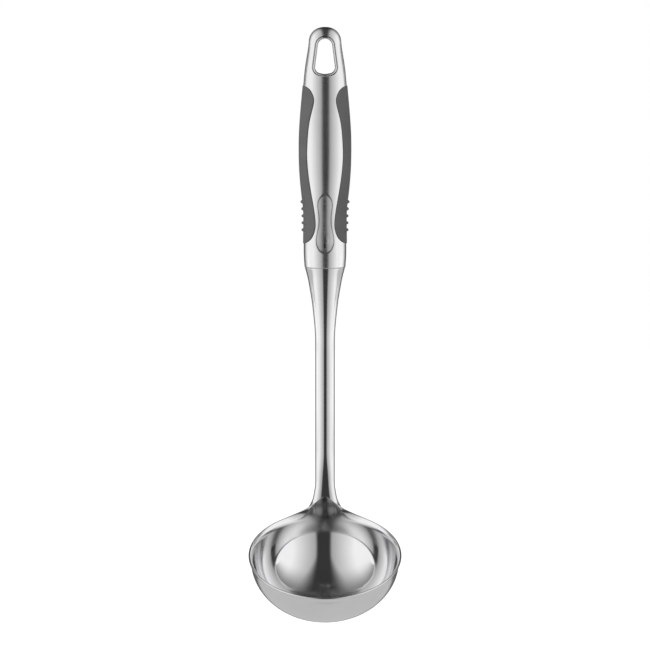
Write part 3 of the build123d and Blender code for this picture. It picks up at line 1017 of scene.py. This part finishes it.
@dataclass
class Bowl:
    """The bowl as one closed sheet, mirror bright inside and satin outside.

    Inside, its finish is softer on the wall under the lip and at the foot, and the dish is painted
    darker, as painted shade.
    """

    form: BowlForm
    soft_wall: tuple[float, float] = (-12.5, -10.0)
    soft_foot: tuple[float, float] = (27.0, 32.0)
    painted_shade_fade: tuple[float, float] = (0.86, 1.0)
    thin_turns: tuple[float, float] = (12.0, 30.0)
    behind_share: float = 0.5

    def surface(self) -> Surface:
        """Columns run round the axis, and rows from the inner pole over the edge to the outer.

        The wall is an ellipse, reach = a cos(u) and height = -b sin(u) below the lip. The sheet
        above it leans along its circle up to its edge, which a half circle rounds.
        """
        form = self.form
        turn = np.linspace(0, 2 * pi, form.columns, endpoint=False)
        off_back = np.abs((turn - pi / 2 + pi) % (2 * pi) - pi)
        down = pi / 2 * (1 - np.linspace(0, 1, form.wall_rows))
        inner_wall = self.ellipse(down, form.wall)
        outer_wall = self.ellipse(down[::-1], 0.0)
        top = form.edge_height(off_back)
        shares = np.linspace(0, 1, form.lip_rows)[1:, None]
        bend = form.bend(off_back)
        whole_turn = np.arcsin(np.clip(bend * (top + form.lip_height), 0, 0.98))
        lean = whole_turn * shares
        height = np.sin(lean) / bend - form.lip_height
        reach = form.radius - form.wall + (1 - np.cos(lean)) / bend
        thin = 1 - ease(np.degrees(off_back), *self.thin_turns)
        wall = form.wall + (form.tongue_wall - form.wall) * thin
        inner_wall = (inner_wall[0] - form.drawn_in(inner_wall[1]), inner_wall[1])
        inner_lip = (reach - form.drawn_in(height), height)
        outer_lip = (
            reach[::-1] + (wall * np.cos(lean))[::-1],
            height[::-1] - (wall * np.sin(lean))[::-1],
        )
        swing = np.linspace(0, pi, 9)[1:-1, None]
        half = wall / 2
        out, down_out = half * np.cos(whole_turn), half * np.sin(whole_turn)
        round_edge = (
            reach[-1] + out - out * np.cos(swing) + down_out * np.sin(swing),
            height[-1] - down_out + down_out * np.cos(swing) + out * np.sin(swing),
        )
        reaches, heights = (
            np.concatenate(
                (
                    np.broadcast_to(inner_wall[i][:, None], (form.wall_rows, form.columns)),
                    inner_lip[i],
                    round_edge[i],
                    outer_lip[i],
                    np.broadcast_to(outer_wall[i][:, None], (form.wall_rows, form.columns)),
                )
            )
            for i in range(2)
        )
        inside_rows = form.wall_rows + form.lip_rows + 2
        behind = np.sin(turn)[None, :] > self.behind_share
        spread = np.stack((reaches * np.cos(turn), heights), axis=-1)
        inside = np.arange(len(reaches))[:, None] < inside_rows
        # Painted shade: inside the bowl, behind, the dish is marked to be painted darker, fading
        # out at the dish's edge.
        fade = ease(form.off_dish(spread), *self.painted_shade_fade)
        painted_dish_shade = np.where(behind & inside, 1 - fade, 0.0)
        wall_mark = ease(heights, *self.soft_wall) + ease(-heights, *self.soft_foot)
        soft = np.where(inside, wall_mark, 0.0)
        reaches = reaches + np.where(behind, form.dish(spread), 0.0)
        points = form.place(reaches, heights, np.broadcast_to(turn, reaches.shape))
        quads = loop_faces(*reaches.shape)
        finish = np.broadcast_to(
            (np.arange(len(reaches) - 1) >= inside_rows)[:, None], quads.shape[:2]
        )
        steps = np.hypot(np.diff(reaches[:, 0]), np.diff(heights[:, 0]))
        run = np.concatenate(([0.0], np.cumsum(steps)))[:, None] + np.zeros_like(reaches)
        turning = np.stack(
            (np.cos(turn) + np.zeros_like(run), np.sin(turn) + np.zeros_like(run), run), axis=-1
        )
        marks = {"turning": turning.reshape(-1, 3), "painted_dish_shade": painted_dish_shade.ravel(), "soft": soft.ravel()}
        return Surface(points.reshape(-1, 3), quads.reshape(-1, 4), finish.ravel(), marks)

    def ellipse(self, down: np.ndarray, inset: float) -> tuple[np.ndarray, np.ndarray]:
        """Reach and height of the bowl's wall, drawn in by the inset."""
        form = self.form
        reach = (form.radius - inset) * np.cos(down)
        height = -form.lip_height - (form.depth - form.lip_height - inset) * np.sin(down)
        return reach, height


@dataclass
class ShaftTube:
    """Oval tube from the handle's seam to the bowl, with its neck and its fishtail."""

    bowl: BowlForm
    seam: float = -123.0
    length: float = 158.6
    width: float = 11.3
    depth: float = 8.0
    neck_width: float = 22.9
    neck_depth: float = 16.4
    neck_length: float = 40.0
    root_width: float = 24.4
    root_depth: float = 14.9
    root_length: float = 37.0
    root_shift: float = 4.5
    root_flatness: float = 1.0
    flat_levels: tuple[float, float] = (228.0, 254.0)
    edge_round: float = 0.1
    gap: float = 0.1
    tuck_start: float = 0.1
    tuck_reach: float = 0.5
    ring_counts: tuple[int, int, int] = (90, 50, 130)
    plain_count: int = 10
    columns: int = 128
    neck: tuple[tuple[float, float, float], ...] = (
        (0.000, 1.000, 1.000),
        (0.125, 0.767, 0.750),
        (0.250, 0.595, 0.548),
        (0.375, 0.445, 0.393),
        (0.500, 0.310, 0.250),
        (0.625, 0.210, 0.143),
        (0.750, 0.120, 0.071),
        (0.875, 0.045, 0.024),
        (1.000, 0.000, 0.000),
    )
    root: tuple[tuple[float, float, float, float], ...] = (
        (0.000, 0.000, 0.000, 0.000),
        (0.100, 0.011, 0.014, 0.011),
        (0.200, 0.084, 0.050, 0.049),
        (0.300, 0.191, 0.081, 0.096),
        (0.400, 0.420, 0.226, 0.251),
        (0.500, 0.786, 0.719, 0.696),
        (0.600, 0.985, 1.000, 0.989),
        (0.700, 0.863, 0.899, 1.000),
        (0.800, 0.527, 0.362, 0.722),
        (0.900, 0.084, -0.203, 0.489),
        (1.000, -0.435, -0.696, 0.444),
    )

    def stations(self) -> np.ndarray:
        """Level, half width, half depth and shift of the sections, from the seam down."""
        neck, root = np.array(self.neck), np.array(self.root)
        neck_foot = self.seam - self.neck_length
        root_top = self.seam - self.length + self.root_length
        plain = np.zeros((self.plain_count, 4))
        plain[:, 0] = np.linspace(neck_foot, root_top, self.plain_count + 2)[1:-1]
        neck_levels = self.seam - self.neck_length * neck[:, 0]
        neck = np.column_stack((neck_levels, neck[:, 1:], np.zeros(len(neck))))
        root = np.column_stack((root_top - self.root_length * root[:, 0], root[:, 1:]))
        rows = np.concatenate((neck, plain, root))
        below = np.arange(len(rows)) >= len(neck) + self.plain_count
        end_width = np.where(below, self.root_width, self.neck_width)
        end_depth = np.where(below, self.root_depth, self.neck_depth)
        return np.column_stack(
            (
                rows[:, 0],
                (self.width + (end_width - self.width) * rows[:, 1]) / 2,
                (self.depth + (end_depth - self.depth) * rows[:, 2]) / 2,
                -self.root_shift * rows[:, 3],
            )
        )

    def surface(self) -> Surface:
        """Rings (w sin t, shift - d (1 - |sin t|^n)^(1/n)) down the tube.

        They are ovals, with n = 2, as far as the root, where their middle flattens as n grows.
        The last of them are tucked behind the bowl's sheet.
        """
        stations = self.stations()
        drops = -stations[:, 0]
        marks = (drops[0], drops[0] + self.neck_length, drops[-1] - self.root_length, drops[-1])
        runs = [np.linspace(*marks[i : i + 2], self.ring_counts[i])[min(i, 1) :] for i in range(3)]
        close = np.concatenate(runs)
        rings = smooth_curve(drops, stations[:, 1:], close)
        inset = self.edge_round * (1 - np.sin(np.linspace(0, pi / 2, 6)[-2::-1]))
        start = int(np.searchsorted(close, close[0] + self.edge_round))
        head = rings[:1] - inset[:, None] * (1, 1, 0)
        levels = -np.concatenate((close[:1], close[0] + inset, close[start:], close[-1:]))
        centre, foot = rings[:1] * (0, 0, 1), rings[-1:] * (0, 0, 1)
        widths = np.concatenate((centre, head, rings[start:], foot))
        turn = np.linspace(0, 2 * pi, self.columns, endpoint=False)
        across = widths[:, :1] * np.sin(turn)
        power = 2 + self.root_flatness * ease(-levels, *self.flat_levels)[:, None]
        bulge = (1 - np.abs(np.sin(turn)) ** power) ** (1 / power) * np.sign(np.cos(turn))
        out = widths[:, 2:] - widths[:, 1:2] * bulge
        points = np.stack((across, out, levels[:, None] + np.zeros_like(across)), axis=-1)
        points = self.tucked(points)
        quads = loop_faces(*across.shape)
        return Surface(points.reshape(-1, 3), quads.reshape(-1, 4))

    def tucked(self, points: np.ndarray) -> np.ndarray:
        """Moves what would pass through the bowl's sheet to just behind it.

        A point is moved along the rim's back direction to the depth sqrt(R^2 - x^2), where R is
        the reach of the sheet's outer face at its height.
        """
        bowl = self.bowl
        rel = points - bowl.centre
        height = rel @ bowl.normal
        back = rel @ bowl.back
        off_back = np.arctan2(np.abs(points[..., 0]), np.maximum(back, 1e-3))
        reach = bowl.outer_reach(height, off_back) + self.gap
        dent = bowl.dish(np.stack((points[..., 0], height), axis=-1))
        behind = np.sqrt(np.clip(reach**2 - points[..., 0] ** 2, 0, None)) + dent
        under = bowl.edge_height(off_back) - self.tuck_start - height
        under = np.clip(under / self.tuck_reach, 0, 1)
        move = under * np.clip(behind - back, 0, None)
        return points + move[..., None] * bowl.back


# Studio


@dataclass
class Studio:
    """Pale floor, white surround, graded screens, a lamp and the camera of the photograph."""

    focal_pixels: float = 1585.0
    image_pixels: float = 650.0
    sensor: float = 36.0
    distance: float = 0.9
    elevation: float = radians(7.8)
    target_level: float = -0.15592
    floor_level: float = -1.4
    floor_half: float = 8.0
    floor_glow: float = 0.66
    surround_light: float = 0.95
    screen_radius: float = 1.15
    screen_sides: tuple[float, float] = (-72.0, 72.0)
    screen_over: tuple[float, float] = (-140.0, 146.0)
    soft_turns: tuple[float, float] = (30.0, 90.0)
    strip_light: float = 0.04
    strip_middle: float = 2.0
    strip_half: float = 8.0
    strip_edge: float = 6.0
    strip_spread: float = 14.0
    panel_light: tuple[float, float] = (0.35, 1.0)
    panel_end: float = 50.0
    low_light: float = 0.55
    low_turns: tuple[float, float] = (40.0, 60.0)
    top_share: float = 0.25
    top_turns: tuple[float, float] = (60.0, 130.0)
    ring_light: tuple[float, float] = (0.1, 1.0)
    ring_turns: tuple[float, float] = (45.0, 90.0)
    ring_start: float = 22.0
    ring_share: float = 1.1

    def camera(self) -> bpy.types.Object:
        """Camera at the photograph's place, looking at the middle of its frame."""
        data = bpy.data.cameras.new("camera")
        data.sensor_width = self.sensor
        data.lens = self.focal_pixels * self.sensor / self.image_pixels
        data.clip_start, data.clip_end = 0.02, 60
        camera = linked_object("camera", data)
        camera.location = (
            0,
            -self.distance * cos(self.elevation),
            self.target_level + self.distance * sin(self.elevation),
        )
        camera.rotation_euler = (pi / 2 - self.elevation, 0, 0)
        bpy.context.scene.camera = camera
        return camera

    def world(self) -> None:
        """White surround that the camera and the metal see, a little softer on matte things."""
        world = bpy.data.worlds.new("surround")
        bpy.context.scene.world = world
        world.use_nodes = True
        tree = world.node_tree
        tree.nodes.clear()
        out = tree.nodes.new("ShaderNodeOutputWorld")
        mix = tree.nodes.new("ShaderNodeMixShader")
        soft = tree.nodes.new("ShaderNodeBackground")
        soft.inputs["Strength"].default_value = self.surround_light
        white = tree.nodes.new("ShaderNodeBackground")
        for shade in (soft, white):
            shade.inputs["Color"].default_value = (1, 1, 1, 1)
        seen = self.seen_rays(tree)
        tree.links.new(seen, mix.inputs["Fac"])
        tree.links.new(soft.outputs["Background"], mix.inputs[1])
        tree.links.new(white.outputs["Background"], mix.inputs[2])
        tree.links.new(mix.outputs["Shader"], out.inputs["Surface"])

    @staticmethod
    def seen_rays(tree: bpy.types.NodeTree) -> bpy.types.NodeSocket:
        """1 for rays from the camera, from gloss and through glass, and 0 for the rest."""
        path = tree.nodes.new("ShaderNodeLightPath")
        total = path.outputs["Is Camera Ray"]
        for name in ("Is Glossy Ray", "Is Transmission Ray"):
            join = tree.nodes.new("ShaderNodeMath")
            join.operation = "MAXIMUM"
            tree.links.new(total, join.inputs[0])
            tree.links.new(path.outputs[name], join.inputs[1])
            total = join.outputs["Value"]
        return total

    def floor(self) -> bpy.types.Object:
        """Pale floor below the hanging ladle, white to the eye where no shadow falls."""
        half = self.floor_half
        grid = np.array([(-half, -half), (half, -half), (half, half), (-half, half)])
        points = np.column_stack((grid, np.full(4, self.floor_level)))
        mesh = bpy.data.meshes.new("floor")
        mesh.from_pydata(points.tolist(), [], [(0, 1, 2, 3)])
        floor = linked_object("floor", mesh)
        shader = Shader("pale_floor")
        paper = shader.noise(shader.place((14.0,) * 3), 4.0, 0.5)
        shader.tint(paper.outputs["Fac"], (0.5, 0.5, 0.5), (0.52, 0.52, 0.52))
        shader.surface.inputs["Roughness"].default_value = 0.9
        shader.surface.inputs["Emission Color"].default_value = (1, 1, 1, 1)
        glow = shader.math("MULTIPLY", self.seen_rays(shader.tree), self.floor_glow)
        shader.link(glow, shader.surface.inputs["Emission Strength"])
        mesh.materials.append(shader.material)
        return floor

    def front_screen(self) -> bpy.types.Object:
        """Arched screen over the camera's side: a dark strip between two graded panels.

        Its directions are (sin a, -cos a cos b, cos a sin b): a is the turn to the side and b
        the turn from the front up and over. From the strip's edge each panel brightens evenly
        with a. The strip's edge grows softer overhead, a plain pale light takes over below, and
        past the top all of it falls off.
        """
        side = np.linspace(*self.screen_sides, 289)[:, None]
        over = np.linspace(*self.screen_over, 144)
        a, b = np.meshgrid(np.radians(side[:, 0]), np.radians(over), indexing="ij")
        ways = np.stack((np.sin(a), -np.cos(a) * np.cos(b), np.cos(a) * np.sin(b)), axis=-1)
        off = np.abs(side - self.strip_middle)
        near, far = self.panel_light
        edge = self.strip_edge + self.strip_spread * ease(over, *self.soft_turns)
        along = (off - self.strip_half) / (self.panel_end - self.strip_half)
        panel = near + (far - near) * np.clip(along, 0, 1)
        open_share = ease((off - self.strip_half) / edge, 0, 1)
        light = self.strip_light + (panel - self.strip_light) * open_share
        light = light * (1 - (1 - self.top_share) * ease(over, *self.top_turns))
        low = ease(-over, *self.low_turns)
        light = light * (1 - low) + self.low_light * low
        return self.screen("front_screen", ways * self.screen_radius, light)

    def back_screen(self) -> bpy.types.Object:
        """Grey ring round the backdrop, which gives the metal its thin dark outlines.

        Its directions are (sin p sin q, cos p, sin p cos q): p is the turn away from the
        backdrop's middle and q the turn round it. Its light depends on p alone.
        """
        dark, bright = self.ring_light
        away = np.linspace(self.ring_start, self.ring_turns[1], 69)
        p, q = np.meshgrid(np.radians(away), np.linspace(0, 2 * pi, 97), indexing="ij")
        ways = np.stack((np.sin(p) * np.sin(q), np.cos(p), np.sin(p) * np.cos(q)), axis=-1)
        share = ease(away, *self.ring_turns)[:, None]
        light = dark + (bright - dark) * share + np.zeros_like(q)
        offsets = ways * self.screen_radius * self.ring_share
        return self.screen("back_screen", offsets, light)

    def screen(self, name: str, offsets: np.ndarray, light: np.ndarray) -> bpy.types.Object:
        """Screen that only polished things see, glowing as its points say.

        Args:
            name: Name of the screen.
            offsets: Its points from the middle of the picture, as rows by columns by 3.
            light: Brightness of each point.

        Returns:
            The new object.
        """
        rows, columns = light.shape
        row, column = np.meshgrid(np.arange(rows - 1), np.arange(columns - 1), indexing="ij")
        first = row * columns + column
        quads = np.stack((first, first + columns, first + columns + 1, first + 1), axis=-1)
        points = offsets + (0, 0, self.target_level)
        mesh = bpy.data.meshes.new(name)
        mesh.from_pydata(points.reshape(-1, 3).tolist(), [], quads.reshape(-1, 4).tolist())
        layer = mesh.attributes.new("light", "FLOAT", "POINT")
        layer.data.foreach_set("value", light.astype(np.float32).ravel())
        screen = linked_object(name, mesh)
        screen.visible_camera = False
        screen.visible_diffuse = False
        screen.visible_shadow = False
        shader = Shader(name)
        shader.tree.nodes.remove(shader.surface)
        source = shader.add("ShaderNodeAttribute", attribute_name="light")
        glow = shader.add("ShaderNodeEmission")
        shader.link(source.outputs["Fac"], glow.inputs["Strength"])
        output = shader.tree.nodes["Material Output"]
        shader.link(glow.outputs["Emission"], output.inputs["Surface"])
        mesh.materials.append(shader.material)
        return screen

    def lamp(self) -> bpy.types.Object:
        """Broad soft lamp at the front left, a little help for matte things."""
        data = bpy.data.lights.new("soft_lamp", "AREA")
        data.shape = "DISK"
        data.size = 1.0
        data.energy = 9.0
        lamp = linked_object("soft_lamp", data)
        lamp.location = (-1.3, -1.1, 0.5)
        lamp.rotation_euler = Vector((1.3, 1.1, -0.65)).to_track_quat("-Z", "Y").to_euler()
        lamp.visible_glossy = False
        return lamp

    def build(self) -> None:
        """Makes the whole studio."""
        self.camera()
        self.world()
        self.floor()
        self.front_screen()
        self.back_screen()
        self.lamp()


# The ladle


@dataclass
class SoupLadle:
    """Every visible piece of the ladle, with the finish each one has."""

    handle: HandleForm
    hole: HangHole
    bowl: BowlForm

    def build(self, nodes: dict[str, bpy.types.Object]) -> None:
        """Makes the pieces, hides the plain solids and dresses those that stay.

        Args:
            nodes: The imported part's nodes by name.
        """
        handle_steel = Steel("handle_steel_polished").material()
        shaft_steel = Steel("shaft_steel_polished", rough_low=0.07, rough_high=0.13).material()
        trough_steel = Steel(
            "trough_steel_satin",
            (0.62, 0.62, 0.625),
            (0.68, 0.68, 0.685),
            rough_low=0.22,
            rough_high=0.29,
        ).material()
        liner_steel = Steel("liner_steel_polished", rough_low=0.06, rough_high=0.12).material()
        # Dark, rough steel for the liner's seat and groove flanks: painted shade in the groove.
        seat_painted_shade = Steel(
            "liner_seat_painted_shade", (0.22,) * 3, (0.28,) * 3, rough_low=0.45, rough_high=0.6
        ).material()
        mirror = Steel(
            "bowl_inside_mirror",
            rough_low=0.035,
            rough_high=0.075,
            grain_scale=(2.0, 2.0, 5.0),
            grain_height=8.0e-7,
            attribute="turning",
            soft_gain=0.1,
            # The dish inside the bowl is painted darker: painted shade.
            painted_shade_tint=(0.38,) * 3,
        ).material()
        satin = Steel(
            "bowl_outside_satin",
            rough_low=0.16,
            rough_high=0.26,
            grain_scale=(2.5, 2.5, 7.0),
            attribute="turning",
        ).material()
        rubber = SoftGrip("grip_rubber_matte").material()
        shells = (("front_shell", Half.FRONT, 34), ("back_shell", Half.BACK, 26))
        for name, half, columns in shells:
            shell = HandleShell(self.handle, self.hole, half, columns=columns)
            node = f"handle_{name}"
            finishes = [handle_steel, trough_steel]
            self.add_piece(shell.surface(), name, node, "handle_steel", finishes)
        liner = HoleLiner(self.handle, self.hole)
        finishes = [liner_steel, seat_painted_shade]
        self.add_piece(liner.surface(), "hole_liner", "hang_liner", "liner_steel", finishes)
        for side in Side:
            word = side.name.lower()
            grip = SideGrip(self.handle, side)
            self.add_piece(grip.surface(), f"{word}_grip", f"grip_{word}", "grip_rubber", [rubber])
        tube = ShaftTube(self.bowl)
        self.add_piece(tube.surface(), "shaft_tube", "shaft", "shaft_steel", [shaft_steel])
        bowl = Bowl(self.bowl)
        self.add_piece(bowl.surface(), "ladle_bowl", "bowl", "bowl_steel", [mirror, satin])
        hidden = {
            "handle_core": SoftGrip("core_nylon", pore_height=4.0e-6).material(),
            "joint_sleeve": Steel("sleeve_steel_plain", rough_low=0.3, rough_high=0.4).material(),
        }
        for node, material in hidden.items():
            mesh = nodes[node].data
            mesh.materials.clear()
            mesh.materials.append(material)

    @staticmethod
    def add_piece(
        surface: Surface,
        name: str,
        node: str,
        slot: str,
        materials: Sequence[bpy.types.Material],
    ) -> bpy.types.Object:
        """Makes one piece, which rides on the part and stands for its plain solid.

        Args:
            surface: Its points and quads.
            name: Its own name.
            node: The solid it stands for.
            slot: Not used.
            materials: Its finishes.

        Returns:
            The new object.
        """
        piece = surface.to_object(name, materials)
        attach(piece, "root")
        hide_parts(node)
        mesh = piece.data
        LOG.info("%s: %d points, %d faces", name, len(mesh.vertices), len(mesh.polygons))
        return piece


def main() -> None:
    """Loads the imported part, dresses it and sets up the studio."""
    logging.basicConfig(level=logging.INFO, format="%(name)s %(message)s")
    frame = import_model()
    bpy.context.scene.view_settings.view_transform = "Standard"
    ladle = SoupLadle(HandleForm(), HangHole(), BowlForm())
    ladle.build(frame["nodes"])
    Studio().build()


if __name__ == "__main__":
    main()
